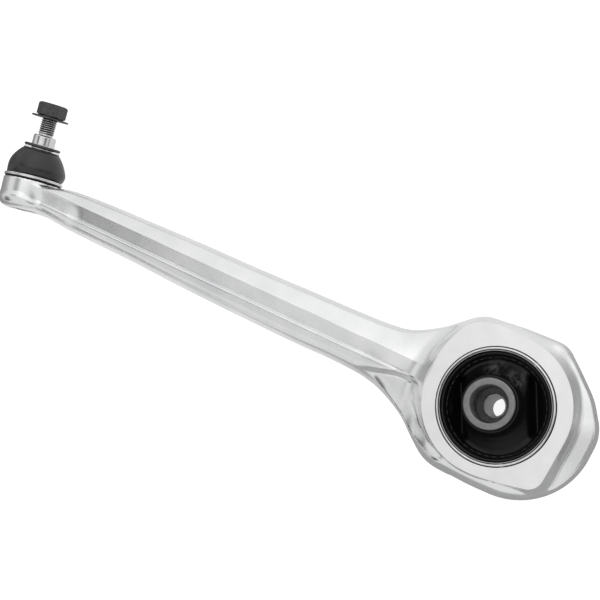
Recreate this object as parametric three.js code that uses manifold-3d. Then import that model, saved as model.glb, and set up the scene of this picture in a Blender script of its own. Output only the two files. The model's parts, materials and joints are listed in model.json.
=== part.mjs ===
// Front thrust arm of a car: a forged aluminium arm with a fluid-filled rubber bush
// in its large eye and a ball joint in its small end.
//
// Millimetres, +Z up. The origin is the middle of the bush. +Z is the bush's axis,
// the ball's centre lies on -X, and the ball stud points roughly along +Y.
import * as THREE from 'three';
import { mergeVertices } from 'three/addons/utils/BufferGeometryUtils.js';
import Module from 'manifold-3d';

const wasm = await Module();
wasm.setup();
const degrees = THREE.MathUtils.degToRad;

// ---------------------------------------------------------------- driving dimensions
const ARM_LENGTH = 380;         // bush centre to ball centre
const CLEARANCE = 0.3;          // gap between neighbouring pieces

const BORE_RADIUS = 35.9;       // bore of the eye, which holds the bush
const BOSS_HALF_WIDTH = 23.5;   // machined boss faces stand at +Z and -Z of this
const EYE_HALF_WIDTH = 14;      // unmachined rim around the boss
const SLEEVE_HALF_LENGTH = 30;  // the bush's inner sleeve is clamped between two lugs
const SLEEVE_RADIUS = 15.6;
const SLEEVE_OFFSET = -2.9;     // the sleeve sits off centre until the arm is loaded
const BOLT_HOLE_RADIUS = 6.35;
const COUNTERBORE_RADIUS = 11.35;
const COUNTERBORE_DEPTH = 22.5;

const CREASE_UPPER = 4.5;       // Y of the beam's sharp ridge
const CREASE_LOWER = -4.4;      // Y of the bottom of the beam's groove

const HOUSING_LEAN = 11.3;      // degrees the housing's axis leans away from the bush
const HOUSING_RISE = 2.5;       // degrees it leans up, towards +Z
const STUD_TILT = 6;            // degrees the stud rests tilted from the housing's axis,
const STUD_HEADING = 41;        // towards this heading, from the bush's side round to +Z
const HOUSING_RADIUS = 21.8;
const HOUSING_TOP = 6;          // heights are measured from the ball's centre
const HOUSING_BOTTOM = -16;
const CAP_SEAT = -11.2;         // shoulder in the cup that the cap's seal presses on
const CAVITY_RADIUS = 15;
const BALL_RADIUS = 12;

const THREAD_RADIUS = 5.9;      // M12 x 1.5
const SHOULDER_TOP = 41.2;
const FLANGE_HEIGHT = 31.5;     // underside of the ring that the knuckle seats on
const NUT_BASE = 53.8;          // underside of the loose washer
const WASHER_THICKNESS = 1.2;
const WASHER_RADIUS = 13.5;
const NUT_HEIGHT = 9.8;
const NUT_ACROSS_FLATS = 19;

const ROUND = 40;               // sides on a large round
const SMALL_ROUND = 24;         // sides on a small round
const BORE_ROUND = 48;          // sides on the eye's bore and the sleeve pressed into it

// ---------------------------------------------------------------- finishes
const finish = (color, roughness, metalness) => (
  new THREE.MeshStandardMaterial({ color, roughness, metalness })
);
const forgedAluminium = finish(0xc9cbcc, 0.45, 0.9);
const brightSteel = finish(0xb9bbbd, 0.28, 1);
const greySteel = finish(0x8e9092, 0.4, 0.95);
const zincSteel = finish(0xd2d3d2, 0.3, 1);
const phosphatedSteel = finish(0x3c3d40, 0.55, 0.7);
const blackRubber = finish(0x17181a, 0.6, 0);
const blackPlastic = finish(0x232426, 0.5, 0);
const acetal = finish(0xe6e4dc, 0.45, 0);

// ---------------------------------------------------------------- solids
// Any closed geometry becomes a solid: seams merged, slivers dropped, faces outward.
function toSolid(geometry) {
  const bare = geometry.clone();
  bare.deleteAttribute('normal');
  bare.deleteAttribute('uv');
  const merged = mergeVertices(bare, 1e-4);
  const points = merged.attributes.position.array;
  const corners = merged.index.array;
  const faces = [];
  let volume = 0;
  for (let i = 0; i < corners.length; i += 3) {
    const [a, b, c] = corners.slice(i, i + 3);
    if (a === b || b === c || c === a) continue;
    faces.push([a, b, c]);
    const [pa, pb, pc] = [a, b, c].map((k) => new THREE.Vector3().fromArray(points, 3 * k));
    volume += pa.dot(pb.cross(pc));
  }
  if (volume < 0) faces.forEach((face) => face.reverse());
  return new wasm.Manifold(new wasm.Mesh({
    numProp: 3,
    vertProperties: Float32Array.from(points),
    triVerts: Uint32Array.from(faces.flat()),
  }));
}

function toGeometry(solid) {
  const { vertProperties, triVerts } = solid.getMesh();
  const geometry = new THREE.BufferGeometry();
  geometry.setAttribute('position', new THREE.BufferAttribute(vertProperties, 3));
  geometry.setIndex(new THREE.BufferAttribute(triVerts, 1));
  geometry.computeVertexNormals();
  return geometry;
}

function addPiece(parent, name, solid, material) {
  const mesh = new THREE.Mesh(toGeometry(solid), material);
  mesh.name = name;
  parent.add(mesh);
}

// A solid of revolution about local Y from [radius, height] points.
function turn(profile, sides = ROUND) {
  const points = profile.map(([radius, height]) => new THREE.Vector2(radius, height));
  const onAxis = points[0].x === 0 && points.at(-1).x === 0;
  if (!onAxis) points.push(points[0].clone());
  return new THREE.LatheGeometry(points, sides);
}

const disc = (radius, low, high, sides) => (
  turn([[0, low], [radius, low], [radius, high], [0, high]], sides)
);
const ring = (inner, outer, low, high, sides) => (
  turn([[inner, low], [outer, low], [outer, high], [inner, high]], sides)
);

// Points of an arc about (0, height), from one angle to another, in degrees.
function arc(radius, from, to, steps, height = 0) {
  return Array.from({ length: steps + 1 }, (_, i) => {
    const angle = degrees(from + ((to - from) * i) / steps);
    return [radius * Math.cos(angle), height + radius * Math.sin(angle)];
  });
}

// The outline a belt would take around a few circles, each [x, y, radius].
function beltAround(circles, steps) {
  const points = circles.flatMap(([x, y, radius]) => (
    arc(radius, 0, 360 - 360 / steps, steps - 1).map(([dx, dy]) => [x + dx, y + dy])
  ));
  points.sort((p, q) => p[0] - q[0] || p[1] - q[1]);
  const turnsRight = (o, p, q) => (
    (p[0] - o[0]) * (q[1] - o[1]) - (p[1] - o[1]) * (q[0] - o[0]) <= 1e-6
  );
  const halfHull = (ordered) => {
    const hull = [];
    for (const point of ordered) {
      while (hull.length > 1 && turnsRight(hull.at(-2), hull.at(-1), point)) hull.pop();
      hull.push(point);
    }
    return hull.slice(0, -1);
  };
  const outline = [...halfHull(points), ...halfHull([...points].reverse())];
  return new THREE.Shape(outline.map(([x, y]) => new THREE.Vector2(x, y)));
}

// A plate centred on Z = 0 whose rims slope in by `slope` over the last `rise` of its height.
function slopedPlate(shape, halfWidth, rise, slope, steps) {
  const plate = new THREE.ExtrudeGeometry(shape, {
    depth: 2 * (halfWidth - rise),
    bevelEnabled: true,
    bevelThickness: rise,
    bevelSize: slope,
    bevelOffset: -slope,
    bevelSegments: steps,
  });
  return plate.translate(0, 0, rise - halfWidth);
}

// ---------------------------------------------------------------- forged arm
// One cross-section of the beam, half of it: [Y, Z] from the top edge down to the bottom.
function beamSection(top, bottom, ridge, valley) {
  const half = [
    [top, 0.42 * ridge],
    [top - 1.2, 0.55 * ridge],
    [CREASE_UPPER, ridge],
    [CREASE_LOWER, valley],
    [CREASE_LOWER - 3.2, 0.87 * ridge],
    [(CREASE_LOWER - 3.2 + bottom) / 2, 0.8 * ridge],
    [bottom + 1.6, 0.55 * ridge],
    [bottom, 0.25 * ridge],
  ];
  const mirrored = [...half].reverse().map(([y, z]) => [y, -z]);
  return [...half, ...mirrored];
}

// Skin over a row of equal-sized sections, each { x, points: [[Y, Z], ...] }.
function loft(sections) {
  const count = sections[0].points.length;
  const vertices = sections.flatMap(({ x, points }) => points.flatMap(([y, z]) => [x, y, z]));
  const faces = [];
  for (let s = 0; s + 1 < sections.length; s += 1) {
    for (let i = 0; i < count; i += 1) {
      const a = s * count + i;
      const b = s * count + ((i + 1) % count);
      faces.push(a, b, a + count, b, b + count, a + count);
    }
  }
  const cap = THREE.ShapeUtils.triangulateShape(
    sections[0].points.map(([y, z]) => new THREE.Vector2(y, z)),
    [],
  );
  const last = (sections.length - 1) * count;
  for (const [a, b, c] of cap) faces.push(c, b, a, last + a, last + b, last + c);
  const geometry = new THREE.BufferGeometry();
  geometry.setAttribute('position', new THREE.Float32BufferAttribute(vertices, 3));
  geometry.setIndex(faces);
  return geometry;
}

// Each station is [x, top Y, bottom Y, ridge Z, groove Z].
const beamStations = [
  [-376, 3, -12, 14.5, 12],
  [-358, 8.5, -13, 14.5, 10],
  [-344, 12.2, -13.6, 14.5, 9.3],
  [-328, 14.6, -13.6, 14.5, 9],
  [-280, 15.4, -13.7, 14.5, 9],
  [-235, 16, -15.4, 14.8, 9],
  [-190, 15.8, -16.6, 15, 9.2],
  [-140, 16.4, -16.7, 15.3, 9.4],
  [-100, 17.2, -16.3, 15.8, 10],
  [-86, 18.3, -18.2, 16.2, 10.6],
  [-74, 20.8, -21.9, 16.6, 11.6],
  [-64, 24.8, -26.6, 16.8, 12.8],
  [-54, 31.2, -31.6, 16.6, 13.4],
  [-42, 40, -39, 15.6, 13.6],
  [-30, 46, -45, 14.4, 13.6],
];

const eyeOutline = beltAround([
  [0, 0, 51],
  [14, 36, 17],
  [29.5, -3.5, 32.2],
  [22, -20, 29],
  [-14, -26, 25],
  [-22, 34, 15],
], 44);
const bossOutline = beltAround([
  [-1.5, 1, 45.9],
  [1.5, 1, 45.9],
  [33, -27, 12.2],
  [-16, 18, 30.2],
], 40);

const housingAxis = new THREE.Vector3(0, 0, 1)
  .applyAxisAngle(new THREE.Vector3(1, 0, 0), degrees(HOUSING_RISE - 90))
  .applyAxisAngle(new THREE.Vector3(0, 0, 1), degrees(HOUSING_LEAN));
const housingTurn = new THREE.Quaternion()
  .setFromUnitVectors(new THREE.Vector3(0, 1, 0), housingAxis);
const housingPlace = new THREE.Matrix4()
  .compose(new THREE.Vector3(-ARM_LENGTH, 0, 0), housingTurn, new THREE.Vector3(1, 1, 1));

const CUP_ROUNDING = 7;
const CUP_NECK = HOUSING_RADIUS - 0.6;     // the cup is slightly slimmer above its waist
const CAP_RECESS_RADIUS = CAVITY_RADIUS + 0.9;
const housingBody = turn([
  [0, HOUSING_BOTTOM],
  ...arc(CUP_ROUNDING, -90, 0, 4, HOUSING_BOTTOM + CUP_ROUNDING)
    .map(([x, y]) => [x + HOUSING_RADIUS - CUP_ROUNDING, y]),
  [HOUSING_RADIUS, -5.5],
  [CUP_NECK, -4.3],
  [CUP_NECK, HOUSING_TOP - 0.8],
  [CUP_NECK - 0.8, HOUSING_TOP],
  [0, HOUSING_TOP],
]);
const housingCavity = turn([
  [0, HOUSING_BOTTOM - 1],
  [13.6, HOUSING_BOTTOM - 1],
  [13.6, HOUSING_BOTTOM + 0.8],
  [CAP_RECESS_RADIUS, HOUSING_BOTTOM + 0.8],
  [CAP_RECESS_RADIUS, CAP_SEAT],
  [CAVITY_RADIUS, CAP_SEAT],
  [CAVITY_RADIUS, 2.4],
  [11.7, HOUSING_TOP],
  [11.7, HOUSING_TOP + 1],
  [0, HOUSING_TOP + 1],
]);
const eyeBore = disc(BORE_RADIUS, -BOSS_HALF_WIDTH - 1, BOSS_HALF_WIDTH + 1, BORE_ROUND).rotateX(Math.PI / 2);

const armBody = toSolid(loft(beamStations.map(([x, top, bottom, ridge, valley]) => (
  { x, points: beamSection(top, bottom, ridge, valley) }
))))
  .add(toSolid(slopedPlate(eyeOutline, EYE_HALF_WIDTH, 4, 2.6, 2)))
  .add(toSolid(slopedPlate(bossOutline, BOSS_HALF_WIDTH, 8, 2.2, 2)))
  .add(toSolid(housingBody.applyMatrix4(housingPlace)))
  .subtract(toSolid(housingCavity.applyMatrix4(housingPlace)))
  .subtract(toSolid(eyeBore));

// ---------------------------------------------------------------- fluid-filled bush
// Turned about local Y; the bush's group lays that along Z.
const CAGE_INNER = 29.9;
const CAGE_OUTER = 31.3;
const CAGE_HALF_WIDTH = 19;
const WINDOW_HALF_WIDTH = 11;   // along the bush's axis
const WINDOW_HALF_SPAN = 15;    // across it
const SHELL_OUTER = 33.9;
const OUTER_SLEEVE_RADIUS = BORE_RADIUS - CLEARANCE;
const LIP_RADIUS = 32.6;
const RUBBER_FLOOR = 13;        // half thickness of the rubber under its moulded recess

const slab = (x, y, z) => new THREE.BoxGeometry(x, y, z);

// Two windows, one towards the ball and one away from it, open the fluid chambers.
const windows = toSolid(slab(90, 2 * WINDOW_HALF_WIDTH, 2 * WINDOW_HALF_SPAN))
  .subtract(toSolid(slab(40, 60, 60)));

const innerSleeve = toSolid(turn([
  [BOLT_HOLE_RADIUS, -SLEEVE_HALF_LENGTH + 0.8],
  [BOLT_HOLE_RADIUS + 0.8, -SLEEVE_HALF_LENGTH],
  [SLEEVE_RADIUS - 0.6, -SLEEVE_HALF_LENGTH],
  [SLEEVE_RADIUS, -SLEEVE_HALF_LENGTH + 0.6],
  [SLEEVE_RADIUS, SLEEVE_HALF_LENGTH - 0.6],
  [SLEEVE_RADIUS - 0.6, SLEEVE_HALF_LENGTH],
  [COUNTERBORE_RADIUS, SLEEVE_HALF_LENGTH],
  [COUNTERBORE_RADIUS, SLEEVE_HALF_LENGTH - COUNTERBORE_DEPTH],
  [BOLT_HOLE_RADIUS + 0.6, SLEEVE_HALF_LENGTH - COUNTERBORE_DEPTH],
  [BOLT_HOLE_RADIUS, SLEEVE_HALF_LENGTH - COUNTERBORE_DEPTH - 0.6],
], SMALL_ROUND));

const rubberSide = [
  [CAGE_INNER - CLEARANCE, CAGE_HALF_WIDTH + CLEARANCE],
  [LIP_RADIUS, CAGE_HALF_WIDTH + CLEARANCE],
  [LIP_RADIUS, 22.6],
  [31.4, 23.2],
  [30.6, 21.8],
  [28.4, 16],
  [24.5, RUBBER_FLOOR],
  [0, RUBBER_FLOOR],
];
const rubberOther = [...rubberSide].reverse().map(([radius, height]) => [radius, -height]);
const rubberCollar = turn([[0, -18.5], [17.3, -18.5], [20.5, -12], [20.5, 12], [17.3, 18.5], [0, 18.5]], SMALL_ROUND);
const mainRubber = toSolid(turn([...rubberOther, ...rubberSide]))
  .add(toSolid(rubberCollar.translate(SLEEVE_OFFSET, 0, 0)))
  .subtract(toSolid(disc(SLEEVE_RADIUS + CLEARANCE, -40, 40, SMALL_ROUND).translate(SLEEVE_OFFSET, 0, 0)))
  .subtract(toSolid(slab(90, 2 * WINDOW_HALF_WIDTH - 3, 2 * WINDOW_HALF_SPAN - 2))
    .subtract(toSolid(slab(45, 60, 60))));

const windowCage = toSolid(ring(CAGE_INNER, CAGE_OUTER, -CAGE_HALF_WIDTH, CAGE_HALF_WIDTH))
  .subtract(windows);

// Each channel shell is a half ring with the damping channel cut round its outside.
function channelShell(side) {
  const shellHalfWidth = 16.5;
  const channelDepth = 1.2;
  const shell = toSolid(ring(CAGE_OUTER + CLEARANCE, SHELL_OUTER, -shellHalfWidth, shellHalfWidth));
  const channel = toSolid(ring(SHELL_OUTER - channelDepth, SHELL_OUTER + 2, 3, 8));
  const half = toSolid(slab(40, 60, 80).translate(side * (20 + CLEARANCE), 0, 0));
  const port = toSolid(slab(10, 5, 9).translate(side * 33, 5.5, 0));
  return shell.subtract(channel).intersect(half).subtract(port);
}

// A stop reaches in through its window and limits how far the sleeve can be pushed.
function travelStop(side) {
  const block = toSolid(slab(8, 11, 16).translate(side * 28, 0, 0));
  return block.intersect(toSolid(disc(CAGE_OUTER, -20, 20)));
}

const outerSleeve = ring(SHELL_OUTER + CLEARANCE, OUTER_SLEEVE_RADIUS, -25, 25, BORE_ROUND);
const crimpRing = (side) => {
  const profile = [[33, 17], [SHELL_OUTER, 17], [SHELL_OUTER, 24.4], [33.4, 24.7], [33, 24.4]];
  return turn(profile.map(([radius, height]) => [radius, side * height]));
};

const bush = new THREE.Group();
bush.rotation.x = Math.PI / 2;
addPiece(bush, 'bush_outer_sleeve', toSolid(outerSleeve), brightSteel);
addPiece(bush, 'bush_front_ring', toSolid(crimpRing(1)), greySteel);
addPiece(bush, 'bush_rear_ring', toSolid(crimpRing(-1)), greySteel);
addPiece(bush, 'bush_window_cage', windowCage, greySteel);
addPiece(bush, 'bush_rubber', mainRubber, blackRubber);
addPiece(bush, 'channel_shell_inboard', channelShell(1), blackPlastic);
addPiece(bush, 'channel_shell_outboard', channelShell(-1), blackPlastic);
addPiece(bush, 'travel_stop_inboard', travelStop(1), blackPlastic);
addPiece(bush, 'travel_stop_outboard', travelStop(-1), blackPlastic);
addPiece(bush, 'bush_inner_sleeve', innerSleeve.translate([SLEEVE_OFFSET, 0, 0]), greySteel);

// ---------------------------------------------------------------- ball joint
// Turned about local Y, with heights from the ball's centre.
const bearingLiner = turn([
  ...arc(BALL_RADIUS + CLEARANCE, -50, 28, 8),
  [11.4, 5.8],
  [CAVITY_RADIUS - CLEARANCE, 2.1],
  [CAVITY_RADIUS - CLEARANCE, -9.4],
]);

const bootWall = [
  [13.8, 6.3], [21, 6.3], [21, 6.7], [19.8, 6.7], [19.8, 9.2], [20.6, 10],
  [21.1, 15], [20.2, 20], [17.4, 24.7], [12.4, 29.2],
  [12.4, 30.3], [10.9, 30.3], [10.9, 25.6], [13.4, 25],
  [17.7, 19.6], [18.6, 15], [17.6, 9], [13.8, 7.9],
];

// The boot's foot stays square to the housing while its neck follows the tilted stud.
const heading = degrees(STUD_HEADING);
const tiltAxis = new THREE.Vector3(Math.sin(heading), 0, -Math.cos(heading));
function followStud(geometry) {
  const position = geometry.attributes.position;
  const bootFoot = 10;
  const bootNeck = 25;
  const point = new THREE.Vector3();
  for (let i = 0; i < position.count; i += 1) {
    point.fromBufferAttribute(position, i);
    const share = THREE.MathUtils.smoothstep(point.y, bootFoot, bootNeck);
    point.applyAxisAngle(tiltAxis, share * degrees(STUD_TILT));
    position.setXYZ(i, point.x, point.y, point.z);
  }
  return geometry;
}

const ballStud = turn([
  ...arc(BALL_RADIUS, -90, 62, 12).map(([x, y], i) => [i === 0 ? 0 : x, y]),
  [5.8, 20],
  [7.6, 23.4],
  [7.6, FLANGE_HEIGHT - 0.3],
  [8.7, FLANGE_HEIGHT],
  [8.6, FLANGE_HEIGHT + 2.2],
  [8.2, SHOULDER_TOP - 0.8],
  [7.5, SHOULDER_TOP],
  [5.1, SHOULDER_TOP],
  [5.1, SHOULDER_TOP + 1.2],
  [THREAD_RADIUS, SHOULDER_TOP + 2],
  [THREAD_RADIUS, NUT_BASE + NUT_HEIGHT + 0.4],
  [THREAD_RADIUS - 0.8, NUT_BASE + NUT_HEIGHT + 1],
  [0, NUT_BASE + NUT_HEIGHT + 1],
], SMALL_ROUND);

const flangeRing = turn([
  [9, FLANGE_HEIGHT],
  [12.3, FLANGE_HEIGHT],
  [13.3, FLANGE_HEIGHT + 0.8],
  [13.3, FLANGE_HEIGHT + 1.3],
  [12.1, FLANGE_HEIGHT + 2.1],
  [9, FLANGE_HEIGHT + 2.1],
], SMALL_ROUND);

function hexNut() {
  const base = NUT_BASE + WASHER_THICKNESS + CLEARANCE;
  const cornerRadius = NUT_ACROSS_FLATS / Math.sqrt(3);
  const flatRadius = NUT_ACROSS_FLATS / 2;
  const hexagon = new THREE.CylinderGeometry(cornerRadius, cornerRadius, NUT_HEIGHT, 6);
  const chamfer = turn([
    [0, base],
    [flatRadius - 0.6, base],
    [cornerRadius + 0.1, base + 1.4],
    [cornerRadius + 0.1, base + NUT_HEIGHT - 1.2],
    [flatRadius - 0.2, base + NUT_HEIGHT],
    [0, base + NUT_HEIGHT],
  ], SMALL_ROUND);
  return toSolid(hexagon.rotateY(degrees(56)).translate(0, base + NUT_HEIGHT / 2, 0))
    .intersect(toSolid(chamfer))
    .subtract(toSolid(disc(THREAD_RADIUS + CLEARANCE, base - 1, base + NUT_HEIGHT + 1, SMALL_ROUND)));
}

const ballJoint = new THREE.Group();
ballJoint.applyMatrix4(housingPlace);
addPiece(ballJoint, 'housing_cap', toSolid(disc(CAP_RECESS_RADIUS - CLEARANCE, -14.9, -13, SMALL_ROUND)), zincSteel);
addPiece(ballJoint, 'cap_seal_ring', toSolid(ring(14.9, 15.6, -12.7, -11.5, SMALL_ROUND)), blackRubber);
addPiece(ballJoint, 'liner_preload_ring', toSolid(ring(9.6, 14.5, -12.7, -9.7, SMALL_ROUND)), greySteel);
addPiece(ballJoint, 'bearing_liner', toSolid(bearingLiner), acetal);
addPiece(ballJoint, 'boot_lower_ring', toSolid(ring(20.1, 21.7, 7, 9)), zincSteel);
addPiece(ballJoint, 'dust_boot', toSolid(followStud(turn(bootWall))), blackRubber);

const stud = new THREE.Group();
stud.quaternion.setFromAxisAngle(tiltAxis, degrees(STUD_TILT));
ballJoint.add(stud);
addPiece(stud, 'boot_slide_collar', toSolid(ring(7.9, 10.6, 24.2, 30.2, SMALL_ROUND)), blackPlastic);
addPiece(stud, 'boot_upper_ring', toSolid(ring(9.2, 11.3, 30.6, 31.2, SMALL_ROUND)), zincSteel);
addPiece(stud, 'ball_stud', toSolid(ballStud), brightSteel);
addPiece(stud, 'stud_flange_ring', toSolid(flangeRing), phosphatedSteel);
addPiece(stud, 'nut_washer', toSolid(ring(
  THREAD_RADIUS + 0.4,
  WASHER_RADIUS,
  NUT_BASE,
  NUT_BASE + WASHER_THICKNESS,
  SMALL_ROUND,
)), phosphatedSteel);
addPiece(stud, 'hex_nut', hexNut(), phosphatedSteel);

// ---------------------------------------------------------------- the whole arm
const controlArm = new THREE.Group();
controlArm.name = 'control_arm';
addPiece(controlArm, 'arm_body', armBody, forgedAluminium);
controlArm.add(bush, ballJoint);

export default controlArm;
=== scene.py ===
"""Front thrust arm of a car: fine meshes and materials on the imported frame.

Lengths are millimetres until a mesh is made. The origin is the middle of the bush, +Z is the
bush's axis, the ball joint lies at -X and its stud points roughly along +Y.
"""
import json
import math
import random

import bpy
import numpy as np
from mathutils import Matrix, Vector


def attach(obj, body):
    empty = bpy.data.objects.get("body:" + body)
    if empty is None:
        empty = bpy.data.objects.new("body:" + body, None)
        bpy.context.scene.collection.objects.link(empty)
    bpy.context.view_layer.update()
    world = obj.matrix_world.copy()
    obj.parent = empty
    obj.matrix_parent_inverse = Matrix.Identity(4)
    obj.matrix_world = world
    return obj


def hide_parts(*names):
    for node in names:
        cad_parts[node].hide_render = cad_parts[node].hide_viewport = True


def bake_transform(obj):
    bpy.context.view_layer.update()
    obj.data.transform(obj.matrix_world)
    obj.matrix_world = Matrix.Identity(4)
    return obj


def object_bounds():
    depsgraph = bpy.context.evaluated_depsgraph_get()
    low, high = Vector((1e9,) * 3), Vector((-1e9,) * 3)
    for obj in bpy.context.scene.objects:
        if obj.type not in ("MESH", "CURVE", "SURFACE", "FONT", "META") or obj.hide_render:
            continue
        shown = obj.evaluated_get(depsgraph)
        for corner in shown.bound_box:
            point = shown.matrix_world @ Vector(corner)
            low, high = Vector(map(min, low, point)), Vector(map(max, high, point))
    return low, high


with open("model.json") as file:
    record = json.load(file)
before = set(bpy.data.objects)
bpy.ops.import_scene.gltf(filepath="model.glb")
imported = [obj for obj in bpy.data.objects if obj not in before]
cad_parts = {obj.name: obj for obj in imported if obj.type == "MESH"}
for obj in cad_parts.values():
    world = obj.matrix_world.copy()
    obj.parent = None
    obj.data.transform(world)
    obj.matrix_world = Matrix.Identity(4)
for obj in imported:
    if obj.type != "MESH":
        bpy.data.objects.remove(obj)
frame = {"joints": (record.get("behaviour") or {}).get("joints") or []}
cad_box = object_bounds()

MM = 0.001
joints = {joint["name"]: joint for joint in frame["joints"]}

# ---------------------------------------------------------------- driving dimensions
CLEARANCE = 0.3
BORE_RADIUS = 35.9
BOSS_HALF_WIDTH = 23.5
EYE_HALF_WIDTH = 13.7
SLEEVE_HALF_LENGTH = 30.0
SLEEVE_RADIUS = 15.6
SLEEVE_OFFSET = joints["bush_twist"]["pos_m"][0] / MM
BOLT_HOLE_RADIUS = 6.35
COUNTERBORE_RADIUS = 11.35
COUNTERBORE_FLOOR = 7.5

CREASE_UPPER = 4.5
CREASE_LOWER = -4.4

HOUSING_RADIUS = 21.8
HOUSING_TOP = 6.0
HOUSING_BOTTOM = -16.0
CAVITY_RADIUS = 15.0
BALL_RADIUS = 12.0
FLANGE_HEIGHT = 31.5
SHOULDER_TOP = 41.2
THREAD_RADIUS = 5.9
THREAD_PITCH = 1.5
NUT_BASE = 53.8
WASHER_THICKNESS = 1.2
WASHER_RADIUS = 13.5
NUT_HEIGHT = 9.8
NUT_ACROSS_FLATS = 19.0
NUT_HEADING = 56.0

BALL = Vector(joints["ball_tilt"]["pos_m"]) / MM
HOUSING_AXIS = Vector(joints["ball_tilt_direction"]["axis"])
STUD_AXIS = Vector(joints["stud_spin"]["axis"])

AROUND_LARGE = 192          # steps round a large turned piece
AROUND_SMALL = 96
VOXEL = 0.8


# ---------------------------------------------------------------- placing
def turn_onto(axis):
    """The shortest turn that lays local +Y along axis."""
    return Vector((0, 1, 0)).rotation_difference(Vector(axis)).to_matrix().to_4x4()


BUSH = turn_onto((0, 0, 1))
SLEEVE = Matrix.Translation((SLEEVE_OFFSET, 0, 0)) @ BUSH
HOUSING = Matrix.Translation(BALL) @ turn_onto(HOUSING_AXIS)
STUD_AXIS_IN_HOUSING = HOUSING.to_3x3().inverted() @ STUD_AXIS
STUD = HOUSING @ turn_onto(STUD_AXIS_IN_HOUSING)


def moved(points, place):
    """Points, an array of rows, after a 4x4 placing."""
    matrix = np.array(place)
    return points @ matrix[:3, :3].T + matrix[:3, 3]


# ---------------------------------------------------------------- materials
class Nodes:
    """The nodes of a material or of the world, which work on one kind of coordinates."""

    def __init__(self, tree, kind):
        self.nodes, self.links = tree.nodes, tree.links
        self.coordinates = self.nodes.new("ShaderNodeTexCoord").outputs[kind]

    def spread(self, value, low, high, start=0.3, end=0.7, smooth=False):
        """Value from start to end becomes low to high."""
        node = self.nodes.new("ShaderNodeMapRange")
        node.interpolation_type = "SMOOTHSTEP" if smooth else "LINEAR"
        node.inputs["From Min"].default_value = start
        node.inputs["From Max"].default_value = end
        node.inputs["To Min"].default_value = low
        node.inputs["To Max"].default_value = high
        self.links.new(value, node.inputs["Value"])
        return node.outputs["Result"]

    def combine(self, operation, a, b):
        """The result of a Math node on two values, of which b may be a plain number."""
        node = self.nodes.new("ShaderNodeMath")
        node.operation = operation
        self.links.new(a, node.inputs[0])
        if isinstance(b, (int, float)):
            node.inputs[1].default_value = b
        else:
            self.links.new(b, node.inputs[1])
        return node.outputs[0]

    def compare(self, operation, vector):
        """The coordinates' DOT_PRODUCT with a fixed vector, or their DISTANCE from it."""
        node = self.nodes.new("ShaderNodeVectorMath")
        node.operation = operation
        node.inputs[1].default_value = vector
        self.links.new(self.coordinates, node.inputs[0])
        return node.outputs["Value"]


class Look(Nodes):
    """A Principled material, with short calls for the nodes that vary it."""

    def __init__(self, name, colour, roughness, metallic, **sockets):
        self.material = bpy.data.materials.new(name)
        self.material.use_nodes = True
        super().__init__(self.material.node_tree, "Object")
        self.shader = self.nodes["Principled BSDF"]
        self.shader.inputs["Base Color"].default_value = (*colour, 1)
        self.shader.inputs["Roughness"].default_value = roughness
        self.shader.inputs["Metallic"].default_value = metallic
        for socket, value in sockets.items():
            self.shader.inputs[socket.replace("_", " ")].default_value = value
        self.normal = None

    def turned(self):
        """From here on patterns run round the piece, by its radius and height when it was turned."""
        attribute = self.nodes.new("ShaderNodeAttribute")
        attribute.attribute_name = "turned"
        self.coordinates = attribute.outputs["Vector"]
        return self

    def lying(self):
        """From here on patterns lie in the object's own space."""
        self.coordinates = self.nodes.new("ShaderNodeTexCoord").outputs["Object"]
        return self

    def noise(self, size, detail=3.0, stretch=(1, 1, 1), rough=0.55):
        """Noise with features of about that size in mm."""
        mapping = self.nodes.new("ShaderNodeMapping")
        mapping.inputs["Scale"].default_value = stretch
        self.links.new(self.coordinates, mapping.inputs["Vector"])
        texture = self.nodes.new("ShaderNodeTexNoise")
        texture.inputs["Scale"].default_value = 1 / (size * MM)
        texture.inputs["Detail"].default_value = detail
        texture.inputs["Roughness"].default_value = rough
        self.links.new(mapping.outputs["Vector"], texture.inputs["Vector"])
        return texture.outputs["Fac"]

    def cells(self, size):
        """Distance to the nearest of many scattered points, about size mm apart."""
        texture = self.nodes.new("ShaderNodeTexVoronoi")
        texture.inputs["Scale"].default_value = 1 / (size * MM)
        self.links.new(self.coordinates, texture.inputs["Vector"])
        return texture.outputs["Distance"]

    def tint(self, value, dark, light, start=0.3, end=0.7):
        """The base colour runs from dark to light with value."""
        ramp = self.nodes.new("ShaderNodeValToRGB")
        ramp.color_ramp.elements[0].position = start
        ramp.color_ramp.elements[0].color = (*dark, 1)
        ramp.color_ramp.elements[1].position = end
        ramp.color_ramp.elements[1].color = (*light, 1)
        self.links.new(value, ramp.inputs["Fac"])
        self.links.new(ramp.outputs["Color"], self.shader.inputs["Base Color"])
        return self

    def gloss(self, value, low, high, start=0.3, end=0.7):
        """The roughness runs from low to high with value."""
        self.links.new(self.spread(value, low, high, start, end), self.shader.inputs["Roughness"])
        return self

    def near(self, point, reach):
        """1 close to a point of the object, in mm, falling to 0 at that reach."""
        distance = self.compare("DISTANCE", Vector(point) * MM)
        return self.spread(distance, 1, 0, 0.3 * reach * MM, reach * MM)

    def relief(self, value, depth):
        """A bump as deep as depth in mm, on top of those before it."""
        node = self.nodes.new("ShaderNodeBump")
        node.inputs["Distance"].default_value = depth * MM
        self.links.new(value, node.inputs["Height"])
        if self.normal is not None:
            self.links.new(self.normal, node.inputs["Normal"])
        self.normal = node.outputs["Normal"]
        self.links.new(self.normal, self.shader.inputs["Normal"])
        return self


def grey(value, warm=0.0):
    """A grey, slightly warm if warm is above 0 and slightly cold if it is below."""
    return (value * (1 + warm), value, value * (1 - warm))


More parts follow.
